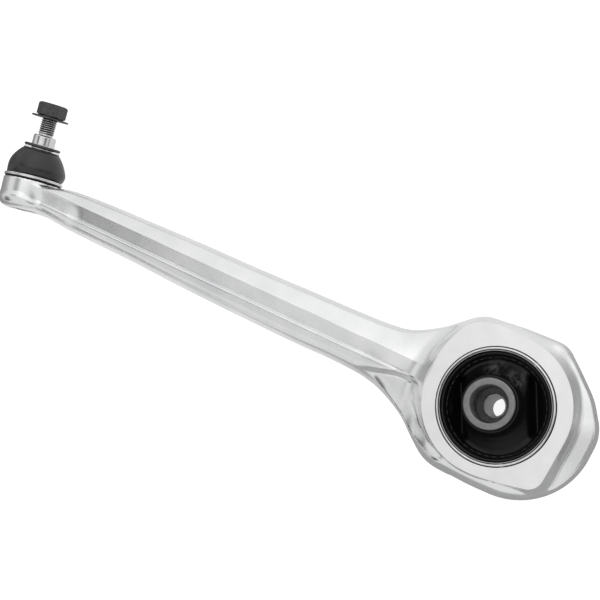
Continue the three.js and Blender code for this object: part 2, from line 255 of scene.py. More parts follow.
def make_forged_aluminium():
    look = Look("forged_aluminium_skin", grey(0.8), 0.26, 1.0)
    stains = look.noise(26, 4)
    look.tint(stains, grey(0.74, -0.008), grey(0.83, -0.002))
    look.gloss(look.noise(14, 3), 0.24, 0.3)
    look.relief(look.noise(14, 2), 0.05)
    look.relief(look.cells(1.1), 0.012)
    look.relief(look.noise(0.45, 2), 0.012)
    return look.material


def make_machined_aluminium():
    look = Look("machined_aluminium", grey(0.82), 0.32, 1.0)
    look.tint(look.noise(12, 4), grey(0.77, 0.002), grey(0.84))
    look.gloss(look.noise(6, 4), 0.3, 0.38)
    rings = look.nodes.new("ShaderNodeTexWave")
    rings.wave_type = "RINGS"
    rings.rings_direction = "Z"
    rings.inputs["Scale"].default_value = 2 * math.pi / (20 * 0.28 * MM)
    rings.inputs["Distortion"].default_value = 0.4
    look.links.new(look.coordinates, rings.inputs["Vector"])
    look.relief(rings.outputs["Fac"], 0.003)
    look.relief(look.noise(0.6, 3), 0.004)
    return look.material


def make_turned_steel(name, shade, roughness, marks, specks=0.0):
    """Steel with turning marks round it; marks is their depth in mm."""
    look = Look(name, grey(shade), roughness, 1.0)
    look.tint(look.noise(3, 4), grey(shade * 0.86, 0.004), grey(min(shade * 1.08, 0.95)))
    look.turned()
    lines = look.noise(0.22, 2, (1, 1, 0.02))
    look.gloss(lines, roughness * 0.8, roughness * 1.3)
    look.relief(lines, marks)
    if specks:
        look.lying()
        look.relief(look.noise(0.5, 4), specks)
    return look.material


def make_phosphated_steel():
    look = Look("phosphated_steel_crystals", grey(0.07), 0.4, 0.8)
    look.tint(look.noise(1.6, 5), grey(0.05, 0.01), grey(0.1, 0.01))
    look.gloss(look.noise(1.1, 4), 0.33, 0.5)
    look.relief(look.noise(0.3, 3), 0.01)
    return look.material


def make_rubber(name, shade, roughness, grain, shine=0.32):
    """Moulded rubber with a dusty bloom; grain is the depth of its skin texture in mm."""
    look = Look(name, grey(shade), roughness, 0.0, Specular_IOR_Level=shine)
    look.tint(look.noise(7, 5), grey(shade * 0.7), grey(shade * 1.6, 0.01))
    look.gloss(look.noise(4, 4), roughness * 0.85, roughness * 1.2)
    look.relief(look.noise(2.2, 4), grain * 2)
    look.relief(look.noise(0.5, 3), grain)
    return look.material


def make_bush_rubber_painted_sheen():
    """Near black, with a painted sheen: one patch beside the sleeve is tinted grey in streaks, standing
    for light that the rubber catches there.
    """
    look = Look("bush_rubber_painted_sheen", grey(0.0025), 0.45, 0.0, Specular_IOR_Level=0.3)
    # Painted sheen: a grey streaked patch beside the sleeve, lighter where the rubber catches the light.
    patch = look.combine("MAXIMUM", look.near((-9, 19.5, 17), 9), look.near((4, 19, 17), 9))
    streaks = look.spread(look.noise(3, 5, (1, 0.5, 1), 0.7), 0, 1, 0.42, 0.68)
    painted_sheen_streaks = look.combine("MULTIPLY", patch, streaks)
    look.tint(painted_sheen_streaks, grey(0.0022), grey(0.11, 0.01), 0.0, 1.0)
    look.gloss(look.noise(4, 4), 0.38, 0.52)
    look.relief(look.noise(2.2, 4), 0.07)
    look.relief(look.noise(0.5, 3), 0.035)
    return look.material


def make_plastic(name, colour, roughness):
    look = Look(name, colour, roughness, 0.0)
    look.tint(look.noise(5, 3), tuple(c * 0.9 for c in colour), colour)
    look.gloss(look.noise(3, 3), roughness * 0.9, roughness * 1.15)
    look.relief(look.noise(0.7, 2), 0.008)
    return look.material


FORGED_ALUMINIUM = make_forged_aluminium()
MACHINED_ALUMINIUM = make_machined_aluminium()
BRIGHT_STEEL = make_turned_steel("bright_turned_steel", 0.7, 0.17, 0.004)
GREY_STEEL = make_turned_steel("grey_machined_steel", 0.23, 0.4, 0.006, 0.016)
CRIMPED_STEEL = make_turned_steel("grey_crimped_steel", 0.4, 0.34, 0.003)
# Painted shade: a near-black material for the counterbore's wall and floor, where shade falls inside the
# sleeve.
UNLIT_BORE = make_rubber("counterbore_painted_shade", 0.11, 0.5, 0.012)
ZINC_STEEL = make_turned_steel("bright_zinc_plate", 0.82, 0.2, 0.002)
PHOSPHATED_STEEL = make_phosphated_steel()
BOOT_RUBBER = make_rubber("boot_rubber", 0.009, 0.34, 0.006, 0.6)
BUSH_RUBBER = make_bush_rubber_painted_sheen()
SEAL_RUBBER = make_rubber("seal_rubber", 0.02, 0.5, 0.005)
BLACK_PLASTIC = make_plastic("glass_filled_plastic", grey(0.03), 0.45)
ACETAL = make_plastic("white_acetal", (0.8, 0.79, 0.75), 0.35)


# ---------------------------------------------------------------- meshes
def make_piece(name, points, faces, materials, body, nodes, sharp=32.0):
    """A piece from points in mm in the row frame, riding on body and standing for CAD nodes."""
    mesh = bpy.data.meshes.new(name)
    mesh.from_pydata((np.asarray(points) * MM).tolist(), [], faces)
    mesh.validate()
    mesh.shade_smooth()
    mesh.set_sharp_from_angle(angle=math.radians(sharp))
    piece = bpy.data.objects.new(name, mesh)
    bpy.context.scene.collection.objects.link(piece)
    for material in materials:
        mesh.materials.append(material)
    if body:
        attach(piece, body)
    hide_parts(*nodes)
    return piece


def softened(corners, radius=0.25, steps=3, closed=True):
    """An outline of [r, h] or [r, h, own radius] corners, with each corner rounded by an arc."""
    points = []
    count = len(corners)
    for i, corner in enumerate(corners):
        here = np.array(corner[:2], float)
        reach = corner[2] if len(corner) > 2 else radius
        if reach == 0 or (not closed and i in (0, count - 1)):
            points.append(here)
            continue
        before = np.array(corners[i - 1][:2], float) - here
        after = np.array(corners[(i + 1) % count][:2], float) - here
        cut = min(reach, 0.45 * np.hypot(*before), 0.45 * np.hypot(*after))
        start = here + before / np.hypot(*before) * cut
        end = here + after / np.hypot(*after) * cut
        for k in range(steps + 1):
            t = k / steps
            points.append((1 - t) ** 2 * start + 2 * t * (1 - t) * here + t ** 2 * end)
    return np.array(points)


def arc(radius, start, end, steps, height=0.0):
    """Points [r, h] of an arc about (0, height), between two angles in degrees."""
    angles = np.radians(np.linspace(start, end, steps + 1))
    return [[radius * math.cos(a), height + radius * math.sin(a)] for a in angles]


def lathe_grid(profile, around, ripple=None):
    """Rows of points round local Y, with the radius and height of each."""
    angles = np.linspace(0, 2 * math.pi, around, endpoint=False)
    radius, angle = np.meshgrid(profile[:, 0], angles, indexing="ij")
    height = np.repeat(profile[:, 1][:, None], around, axis=1)
    if ripple:
        radius = ripple(radius, height, angle)
    points = np.stack([radius * np.sin(angle), height, radius * np.cos(angle)], axis=-1)
    return points, radius, height


def ring_quads(index):
    """Quads between rows of point numbers, each of which closes on itself."""
    across = np.roll(index, -1, axis=1)
    return np.stack([index[:-1], across[:-1], across[1:], index[1:]], axis=-1).reshape(-1, 4)


def lathe_piece(name, profile, place, material, body, nodes, around=AROUND_LARGE,
                ripple=None, bend=None, on_axis=False, sharp=32.0):
    """A turned piece. On_axis profiles start and end on the axis, others close on themselves."""
    profile = np.asarray(profile, float)
    points, radius, height = lathe_grid(profile, around, ripple)
    rows = len(profile)
    index = np.arange(rows * around).reshape(rows, around)
    if on_axis:
        index[0, :] = index[0, 0]
        index[-1, :] = index[-1, 0]
    else:
        index = np.concatenate([index, index[:1]])
    faces = [list(dict.fromkeys(quad)) for quad in ring_quads(index).tolist()]
    used = np.unique(index)
    renumber = dict(zip(used.tolist(), range(len(used))))
    faces = [[renumber[corner] for corner in face] for face in faces]
    flat = points.reshape(-1, 3)[used]
    if bend:
        flat = bend(flat)
    flat = moved(flat, place)
    faces = facing_out(flat, faces)
    piece = make_piece(name, flat, faces, [material], body, nodes, sharp)
    turned = np.stack([radius, height, np.zeros_like(radius)], axis=-1).reshape(-1, 3)[used]
    attribute = piece.data.attributes.new("turned", "FLOAT_VECTOR", "POINT")
    attribute.data.foreach_set("vector", (turned * MM).astype(np.float32).ravel())
    return piece


def facing_out(points, faces):
    """The faces, all turned over if they enclose a negative volume."""
    volume = 0.0
    for size in set(map(len, faces)):
        group = np.array([face for face in faces if len(face) == size])
        first = points[group[:, 0]]
        for k in range(1, size - 1):
            fan = np.cross(points[group[:, k]], points[group[:, k + 1]])
            volume += float((first * fan).sum())
    return faces if volume > 0 else [face[::-1] for face in faces]


# ---------------------------------------------------------------- forged arm
# Each station is [x, top Y, bottom Y, ridge Z, groove Z, lip Z].
BEAM_STATIONS = np.array([
    [-398, 3.0, -9.0, 14.0, 11.0, 10.5],
    [-388, 3.5, -11.0, 15.4, 13.0, 12.8],
    [-372, 5.6, -12.4, 15.4, 12.6, 12.8],
    [-358, 8.4, -13.2, 15.0, 11.8, 12.4],
    [-344, 12.2, -14.1, 14.9, 11.4, 12.2],
    [-335, 13.0, -14.6, 14.6, 10.8, 11.7],
    [-328, 13.5, -14.8, 14.5, 9.2, 10.9],
    [-322, 13.8, -14.9, 14.5, 9.0, 10.8],
    [-312, 14.2, -15.1, 14.5, 9.0, 10.8],
    [-280, 15.0, -15.4, 14.5, 9.0, 10.8],
    [-235, 16.1, -16.9, 14.8, 9.2, 10.9],
    [-190, 16.5, -17.6, 15.0, 9.6, 11.2],
    [-140, 17.6, -17.9, 15.3, 10.2, 11.7],
    [-105, 18.3, -17.5, 15.8, 11.2, 12.6],
    [-86, 19.2, -18.8, 16.4, 12.8, 13.8],
    [-74, 20.8, -21.8, 16.8, 14.6, 15.4],
    [-64, 24.8, -26.0, 17.0, 15.8, 16.2],
    [-54, 30.8, -31.4, 17.0, 16.6, 16.6],
    [-42, 39.5, -39.6, 17.0, 16.8, 16.8],
    [-30, 45.0, -44.6, 17.0, 17.0, 17.0],
    [-18, 44.0, -44.0, 17.0, 17.0, 17.0],
])
EYE_CIRCLES = [
    (0, 0, 50.7),
    (16, 36.2, 15.5),
    (34, 3, 26),
    (12.4, -2.9, 47.3),
    (-6, 36, 15.2),
    (-18, -26, 24.2),
    (-25, 33, 15),
]
BOSS_CIRCLES = [
    (-1.5, 1, 43.7),
    (1.5, 1, 43.7),
    (33, -27, 10),
    (-16, 18, 28),
]
BELT_DIRECTIONS = 240
CUP_FILLET = 3.5
CUP_REACH = BALL.x + 60         # the cup plays no part in the forging beyond this X
FLANK_SLOPE = 0.95              # fall of the flank round the boss, for each mm outward
FLANK_STEEPER_RIGHT = 1.3       # and this much steeper on the side away from the beam
FLANK_STEEPER_BELOW = 3.0       # and on the eye's lower side
RIM_HALF_WIDTH = EYE_HALF_WIDTH - 1.0
RIM_RISE = 0.3
RIM_LOWER_UNDER_BEAM = 4.5
SHOULDER_RISE = 7.3             # the eye's upper and lower rims round up this far
SHOULDER_WIDTH = 8.0
EYE_FILLET = 10.0
DRAFT = 0.06                    # the sides lean in this much for each mm from the parting plane
FLASH_HEIGHT = 0.26             # of the trimmed flash along the parting line


def belt_distance(x, y, circles):
    """Signed distance from a belt round circles, each (x, y, radius); inside is negative."""
    angles = np.linspace(0, 2 * math.pi, BELT_DIRECTIONS, endpoint=False)
    directions = np.stack([np.cos(angles), np.sin(angles)]).astype(np.float32)
    circles = np.asarray(circles, np.float32)
    reach = (circles[:, :2] @ directions + circles[:, 2:]).max(axis=0)
    flat = np.stack([x.ravel(), y.ravel()], axis=1).astype(np.float32)
    result = np.empty(len(flat), np.float32)
    block = 40000
    for start in range(0, len(flat), block):
        result[start:start + block] = (flat[start:start + block] @ directions - reach).max(axis=1)
    return result.reshape(x.shape)


def smooth_max(a, b, width):
    """The larger of a and b, rounded where they are within width of each other."""
    near = np.clip(1 - np.abs(a - b) / width, 0, 1)
    return np.maximum(a, b) + near ** 2 * width / 4


def smooth_min(a, b, width):
    return -smooth_max(-a, -b, width)


def smoothstep(value, low, high):
    t = np.clip((value - low) / (high - low), 0, 1)
    return t * t * (3 - 2 * t)


def smooth_stations(x):
    """The beam's top, bottom, ridge, groove and lip at each x, on curves through the stations."""
    stations = BEAM_STATIONS
    steps = np.searchsorted(stations[:, 0], x, side="right") - 1
    steps = np.clip(steps, 0, len(stations) - 2)
    slopes = np.gradient(stations[:, 1:], stations[:, 0], axis=0)
    start, end = stations[steps], stations[steps + 1]
    length = (end[..., 0] - start[..., 0])[..., None]
    t = np.clip((x - start[..., 0])[..., None] / length, 0, 1)
    ahead = t ** 2 * (3 - 2 * t)
    values = start[..., 1:] * (1 - ahead) + end[..., 1:] * ahead
    values += slopes[steps] * length * t * (1 - t) ** 2
    values -= slopes[steps + 1] * length * t ** 2 * (1 - t)
    return np.moveaxis(values, -1, 0)


def beam_height(y, top, bottom, ridge, groove, lip, fullness):
    """Half thickness of the beam: a face up to a ridge, a face down to a groove, a rounded lip."""
    lip_y = CREASE_LOWER - 1.5
    edge_y = top - 2.4 * np.clip((top - CREASE_UPPER) / 8, 0.4, 1)
    edge = np.maximum(0.62 * ridge, ridge - 0.6 * (edge_y - CREASE_UPPER))
    outline = [
        (top + 3, 0.15 * ridge),
        (top, edge - 0.2 * ridge),
        (edge_y, edge),
        (CREASE_UPPER, ridge),
        (CREASE_LOWER, groove),
        (lip_y, lip),
        (0.4 * lip_y + 0.6 * bottom, 0.93 * lip),
        (bottom + 1.6, fullness * ridge),
        (bottom - 2, 0.1 * ridge),
    ]
    height = outline[0][1] + 0 * y
    for (y_high, z_high), (y_low, z_low) in zip(outline, outline[1:]):
        share = np.clip((y_high - y) / np.maximum(y_high - y_low, 0.1), 0, 1)
        height = height + (z_low - z_high) * share
    return height


def towards(x, y, heading, start, end):
    """1 where a point lies at that heading from the eye's middle, fading out to both sides."""
    along = x * math.cos(math.radians(heading)) + y * math.sin(math.radians(heading))
    return smoothstep(along / np.maximum(np.hypot(x, y), 1), start, end)


def shelf_drop(x, y):
    """How far the beam's lower band steps down before it runs into the eye."""
    start = 10.0 - 5.4 * smoothstep(x, -88, -60)
    depth = 4.5 * smoothstep(x, -95, -78) * smoothstep(-x, 34, 60)
    return depth * smoothstep(-y, start, start + 4.6)


def plan_fields(x, y):
    """Thicknesses and outlines that depend only on where a point lies in the plan."""
    top, bottom, ridge, groove, lip = smooth_stations(x)
    fullness = 0.54 + 0.3 * smoothstep(x, -92, -60) - 0.4 * smoothstep(x, -50, -30)
    softness = 0.35 + 1.3 * smoothstep(-y, 5.5, 9)
    shifts = (-1, -0.5, 0, 0.5, 1)
    beam = sum(beam_height(y + shift * softness, top, bottom, ridge, groove, lip, fullness)
               for shift in shifts) / len(shifts) - shelf_drop(x, y)
    beam_edge = np.maximum(np.maximum(y - top, bottom - y), -388.0 - x)
    beam_edge = np.maximum(beam_edge, x + 20)
    eye_edge = belt_distance(x, y, EYE_CIRCLES)
    boss_edge = belt_distance(x, y, BOSS_CIRCLES)
    below = towards(x, y, -100, 0.3, 0.85)
    above = towards(x, y, 95, 0.75, 0.98)
    right = towards(x, y, 8, -0.05, 0.72) * (1 - below)
    under_beam = towards(x, y, 190, 0.5, 0.9)
    slope = FLANK_SLOPE + FLANK_STEEPER_RIGHT * right + FLANK_STEEPER_BELOW * below
    flank = np.minimum(BOSS_HALF_WIDTH - slope * boss_edge, BOSS_HALF_WIDTH + 1.9)
    inside = np.clip(-eye_edge, 0, 16)
    shoulder = SHOULDER_RISE * (1 - (1 - np.clip(inside / SHOULDER_WIDTH, 0, 1)) ** 2)
    rounded = np.maximum(below, above) * (1 - under_beam)
    rim = RIM_HALF_WIDTH + RIM_RISE * inside * (1 - rounded) + shoulder * rounded
    rim = rim - RIM_LOWER_UNDER_BEAM * under_beam
    eye = smooth_max(flank, rim, 6.0 - 2.5 * right - 4.6 * below)
    eye_rounding = 4.2 - 2.6 * right
    return beam, beam_edge, eye, eye_edge, eye_rounding


def cup_distance(x, y, z):
    """Signed distances from the outside of the ball's housing, which has a ledge round its lower
    half, and from the space over it that the beam keeps out of (positive inside that space)."""
    away = np.stack([x - BALL.x, y - BALL.y, z - BALL.z], axis=-1)
    height = away @ np.array(HOUSING_AXIS)
    radius = np.sqrt(np.maximum((away ** 2).sum(axis=-1) - height ** 2, 0))
    round_from_front = np.degrees(np.arctan2(away[..., 0], np.abs(away[..., 2])))
    waist = -4.5 - 4.7 * smoothstep(round_from_front, 12, 60)
    step = 1.1 * smoothstep(round_from_front, -75, -25)
    outer = HOUSING_RADIUS - 0.2 - step * np.clip((height - waist) / 3.0 + 1, 0, 1)
    side = smooth_max(radius - outer, height - HOUSING_TOP - 0.25, 1.3)
    above = np.minimum(height - HOUSING_TOP - 0.8, HOUSING_RADIUS + 1.8 - radius)
    return smooth_max(side, HOUSING_BOTTOM - height, 9.0), above


def forging(fields, half_z):
    """The forging's level: negative inside. It is the same on both sides of the parting plane."""
    beam, beam_edge, eye, eye_edge, eye_rounding = fields
    rod = smooth_max(half_z - beam, beam_edge + DRAFT * half_z, 3.0)
    plate = smooth_max(0.7 * (half_z - eye), eye_edge + DRAFT * half_z, eye_rounding)
    return smooth_min(rod, plate, EYE_FILLET)


def with_cup(level, x, y, z):
    """The forging's level near the ball, with the cup joined on."""
    cup, above = cup_distance(x, y, z)
    return smooth_max(smooth_min(level, cup, CUP_FILLET), above, 1.6)


def arm_level(x, y, z):
    level = forging(plan_fields(x, y), np.abs(z))
    near = x < CUP_REACH
    level[near] = with_cup(level[near], x[near], y[near], z[near])
    return level


def level_on_grid(low, high):
    """The arm's level on a regular grid, and the grid's axes."""
    axes = [np.arange(a, b + VOXEL, VOXEL, dtype=np.float32) for a, b in zip(low, high)]
    x, y = np.meshgrid(axes[0], axes[1], indexing="ij")
    fields = [field[:, :, None].astype(np.float32) for field in plan_fields(x, y)]
    half_z = np.abs(axes[2])[None, None, :]
    level = forging(fields, half_z)
    near = int(np.searchsorted(axes[0], CUP_REACH))
    grid = np.meshgrid(axes[0][:near], axes[1], axes[2], indexing="ij")
    level[:near] = with_cup(level[:near], *grid)
    return level, axes


def surface_net(level, axes):
    """Quads on the zero surface of a level: one point in each cell that the surface crosses."""
    inside = level < 0
    corners = [(i, j, k) for i in (0, 1) for j in (0, 1) for k in (0, 1)]
    sizes = [n - 1 for n in level.shape]

    def shifted(array, offset):
        i, j, k = offset
        return array[i:i + sizes[0], j:j + sizes[1], k:k + sizes[2]]

    count = sum(shifted(inside, corner).astype(np.int8) for corner in corners)
    cells = np.argwhere((count > 0) & (count < 8))
    number = np.full(sizes, -1, np.int64)
    number[tuple(cells.T)] = np.arange(len(cells))
    values = {corner: level[tuple((cells + corner).T)] for corner in corners}
    total = np.zeros((len(cells), 3))
    crossings = np.zeros(len(cells))
    for a in corners:
        for axis in range(3):
            if a[axis] == 1:
                continue
            b = tuple(1 if n == axis else a[n] for n in range(3))
            crossed = (values[a] < 0) != (values[b] < 0)
            gap = values[a] - values[b]
            share = np.where(crossed, values[a] / np.where(crossed, gap, 1), 0)
            point = np.tile(np.array(a, float), (len(cells), 1))
            point[:, axis] = share
            total += point * crossed[:, None]
            crossings += crossed
    points = cells + total / crossings[:, None]
    step = VOXEL
    origin = np.array([axis[0] for axis in axes], float)
    faces = []
    for axis in range(3):
        u, v = (axis + 1) % 3, (axis + 2) % 3
        first = np.moveaxis(inside, axis, 0)
        changed = np.moveaxis(first[1:] != first[:-1], 0, axis)
        edges = np.argwhere(changed)
        edges = edges[(edges[:, u] > 0) & (edges[:, v] > 0)]
        edges = edges[(edges[:, u] < sizes[u]) & (edges[:, v] < sizes[v])]
        ring = []
        for du, dv in ((1, 1), (0, 1), (0, 0), (1, 0)):
            cell = edges.copy()
            cell[:, u] -= du
            cell[:, v] -= dv
            ring.append(number[tuple(cell.T)])
        quads = np.stack(ring, axis=1)
        outward = inside[tuple(edges.T)]
        quads[~outward] = quads[~outward][:, ::-1]
        faces.append(quads)
    return origin + points * step, np.concatenate(faces)


def level_and_slope(points, nudge):
    """The arm's level at each point, and how it changes along X, Y and Z."""
    x, y, z = points.T
    here = arm_level(x, y, z)
    slope = np.stack([
        arm_level(x + nudge, y, z) - here,
        arm_level(x, y + nudge, z) - here,
        arm_level(x, y, z + nudge) - here,
    ], axis=1) / nudge
    return here, slope


def relaxed(points, quads, rounds):
    """Each round eases the points towards their neighbours and puts them back on the surface."""
    pairs = np.concatenate([quads[:, [i, (i + 1) % 4]] for i in range(4)])
    pairs = np.concatenate([pairs, pairs[:, ::-1]])
    degree = np.bincount(pairs[:, 0], minlength=len(points))[:, None]
    for _ in range(rounds):
        mean = np.stack([
            np.bincount(pairs[:, 0], weights=points[pairs[:, 1], n], minlength=len(points))
            for n in range(3)
        ], axis=1) / degree
        points = 0.5 * points + 0.5 * mean
        here, slope = level_and_slope(points, 0.05)
        step = here[:, None] * slope / np.maximum((slope ** 2).sum(axis=1), 0.05)[:, None]
        reach = np.linalg.norm(step, axis=1, keepdims=True)
        points = points - step * np.minimum(1, 0.5 * VOXEL / np.maximum(reach, 1e-6))
    return points


def parting_line(points):
    """Points on the steep sides near Z = 0 stand proud, where the forging's flash was trimmed."""
    _, outward = level_and_slope(points, 0.2)
    outward /= np.maximum(np.linalg.norm(outward, axis=1), 1e-6)[:, None]
    steep = np.clip((0.5 - np.abs(outward[:, 2])) / 0.3, 0, 1)
    proud = FLASH_HEIGHT * steep * np.clip(1.6 - np.abs(points[:, 2]), 0, 0.8) / 0.8
    outward[:, 2] = 0
    return points + outward * proud[:, None]


def boolean_cutter(name, profile, place, around):
    """A closed turned solid, used only to cut with."""
    profile = np.asarray(profile, float)
    points, _, _ = lathe_grid(profile, around)
    index = np.arange(len(profile) * around).reshape(len(profile), around)
    faces = ring_quads(index).tolist() + [index[0].tolist()[::-1], index[-1].tolist()]
    flat = moved(points.reshape(-1, 3), place)
    mesh = bpy.data.meshes.new(name)
    mesh.from_pydata((flat * MM).tolist(), [], facing_out(flat, faces))
    cutter = bpy.data.objects.new(name, mesh)
    bpy.context.scene.collection.objects.link(cutter)
    return cutter


def machine(piece, cutters):
    """Cuts the cutters out of the piece, and removes them."""
    for cutter in cutters:
        cut = piece.modifiers.new("cut", "BOOLEAN")
        cut.object = cutter
        cut.operation = "DIFFERENCE"
        cut.solver = "MANIFOLD"
    evaluated = piece.evaluated_get(bpy.context.evaluated_depsgraph_get())
    mesh = bpy.data.meshes.new_from_object(evaluated)
    piece.modifiers.clear()
    piece.data = mesh
    for cutter in cutters:
        bpy.data.objects.remove(cutter)


def make_arm():
    low = (-405.5, -53.5, -BOSS_HALF_WIDTH - 3)
    high = (64.0, 54.0, BOSS_HALF_WIDTH + 3)
    level, axes = level_on_grid(low, high)
    points, quads = surface_net(level, axes)
    points = parting_line(relaxed(points, quads, 3))
    piece = make_piece("forged_arm", points, quads.tolist(), [FORGED_ALUMINIUM, MACHINED_ALUMINIUM],
                       "arm", ["arm_body"])
    wide = 90.0
    slabs = [
        boolean_cutter("slab", [[wide, side * BOSS_HALF_WIDTH], [wide, side * (BOSS_HALF_WIDTH + 9)]],
                       BUSH, 48)
        for side in (1, -1)
    ]
    chamfer = 0.35
    outside = BOSS_HALF_WIDTH + 6
    bore = boolean_cutter("bore", [
        [BORE_RADIUS + chamfer, -outside],
        [BORE_RADIUS + chamfer, -BOSS_HALF_WIDTH + 1.6],
        [BORE_RADIUS, -BOSS_HALF_WIDTH + 2.2],
        [BORE_RADIUS, BOSS_HALF_WIDTH - 2.2],
        [BORE_RADIUS + chamfer, BOSS_HALF_WIDTH - 1.6],
        [BORE_RADIUS + chamfer, outside],
    ], BUSH, AROUND_LARGE)
    cup_top = boolean_cutter("cup_top", [
        [HOUSING_RADIUS + 0.9, HOUSING_TOP], [HOUSING_RADIUS + 0.9, HOUSING_TOP + 6],
    ], HOUSING, AROUND_LARGE)
    cavity = boolean_cutter("cavity", [
        [14.4, HOUSING_BOTTOM - 2],
        [13.6, HOUSING_BOTTOM + 0.4],
        [13.6, HOUSING_BOTTOM + 0.8],
        [CAVITY_RADIUS + 0.9, HOUSING_BOTTOM + 0.8],
        [CAVITY_RADIUS + 0.9, -11.2],
        [CAVITY_RADIUS, -11.2],
        [CAVITY_RADIUS, 2.4],
        [11.7, HOUSING_TOP - 0.4],
        [12.9, HOUSING_TOP + 0.8],
    ], HOUSING, AROUND_SMALL)
    machine(piece, [*slabs, bore, cup_top, cavity])
    mesh = piece.data
    centre = np.empty(len(mesh.polygons) * 3)
    normal = np.empty(len(mesh.polygons) * 3)
    mesh.polygons.foreach_get("center", centre)
    mesh.polygons.foreach_get("normal", normal)
    centre = centre.reshape(-1, 3) / MM
    normal = normal.reshape(-1, 3)
    on_face = (np.abs(np.abs(centre[:, 2]) - BOSS_HALF_WIDTH) < 0.02) & (np.abs(normal[:, 2]) > 0.99)
    in_bore = np.hypot(centre[:, 0], centre[:, 1]) < BORE_RADIUS + chamfer + 0.2
    away = centre - np.array(BALL)
    height = away @ np.array(HOUSING_AXIS)
    radius = np.sqrt(np.maximum((away ** 2).sum(axis=1) - height ** 2, 0))
    on_cup = (np.abs(height - HOUSING_TOP) < 0.05) & (radius < 26)
    in_cup = radius < CAVITY_RADIUS + 1.2
    machined = (on_face | in_bore | on_cup | in_cup).astype(np.int32)
    mesh.polygons.foreach_set("material_index", machined)
    mesh.shade_smooth()
    mesh.set_sharp_from_angle(angle=math.radians(38))
    return piece


# ---------------------------------------------------------------- fluid-filled bush
LIP_RADIUS = 33.0
POCKET_HEADING = 26.0         # degrees in the plan, from +X towards +Y
POCKET_FLOOR = 7.5


def both_ways(profile):
    """A half outline from inside to outside, and its mirror image below."""
    return [[corner[0], -corner[1], *corner[2:]] for corner in reversed(profile)] + profile


def make_bush():
    lathe_piece("bush_sleeve_outer", softened([
        [35.6, 0, 0], [35.6, 24.2], [35.2, 25.0], [34.5, 25.0], [34.2, 24.6], [34.2, 0, 0],
        [34.2, -24.6], [34.5, -25.0], [35.2, -25.0], [35.6, -24.2],
    ], 0.35), BUSH, BRIGHT_STEEL, "arm", ["bush_outer_sleeve"])
    for side, node in ((1, "bush_front_ring"), (-1, "bush_rear_ring")):
        lathe_piece(node + "_crimped", softened([
            [33.3, side * 17], [33.9, side * 17], [33.9, side * 24.4],
            [33.6, side * 24.7], [33.2, side * 24.4],
        ], 0.3), BUSH, CRIMPED_STEEL, "arm", [node])
    make_bush_rubber()
    rim = SLEEVE_HALF_LENGTH
    floor = COUNTERBORE_FLOOR
    sleeve = lathe_piece("bush_sleeve_inner", softened([
        [BOLT_HOLE_RADIUS, -rim + 0.9], [BOLT_HOLE_RADIUS + 0.9, -rim], [SLEEVE_RADIUS - 0.7, -rim],
        [SLEEVE_RADIUS, -rim + 0.7], [SLEEVE_RADIUS, 0, 0], [SLEEVE_RADIUS, rim - 0.6],
        [SLEEVE_RADIUS - 0.6, rim], [COUNTERBORE_RADIUS + 0.5, rim],
        [COUNTERBORE_RADIUS, rim - 0.5], [COUNTERBORE_RADIUS, floor + 1.2],
        [COUNTERBORE_RADIUS - 0.7, floor], [BOLT_HOLE_RADIUS + 1.1, floor],
        [BOLT_HOLE_RADIUS, floor - 1.1],
    ], 0.18), SLEEVE, GREY_STEEL, "sleeve", ["bush_inner_sleeve"])
    sleeve.data.materials.append(UNLIT_BORE)
    sleeve.data.materials.append(ZINC_STEEL)
    for face in sleeve.data.polygons:
        radius = math.hypot(face.center.x / MM - SLEEVE_OFFSET, face.center.y / MM)
        inside = BOLT_HOLE_RADIUS + 1.1 < radius < COUNTERBORE_RADIUS + 0.1
        # Painted shade: the counterbore's wall and floor take the near-black material.
        if inside and floor - 0.1 < face.center.z / MM < rim - 0.6:
            face.material_index = 1
        # Painted light: the bolt hole's wall takes the bright zinc material, standing for light that
        # comes up through the hole.
        elif radius < BOLT_HOLE_RADIUS + 1.1 and abs(face.center.z) / MM < rim - 1.5:
            face.material_index = 2


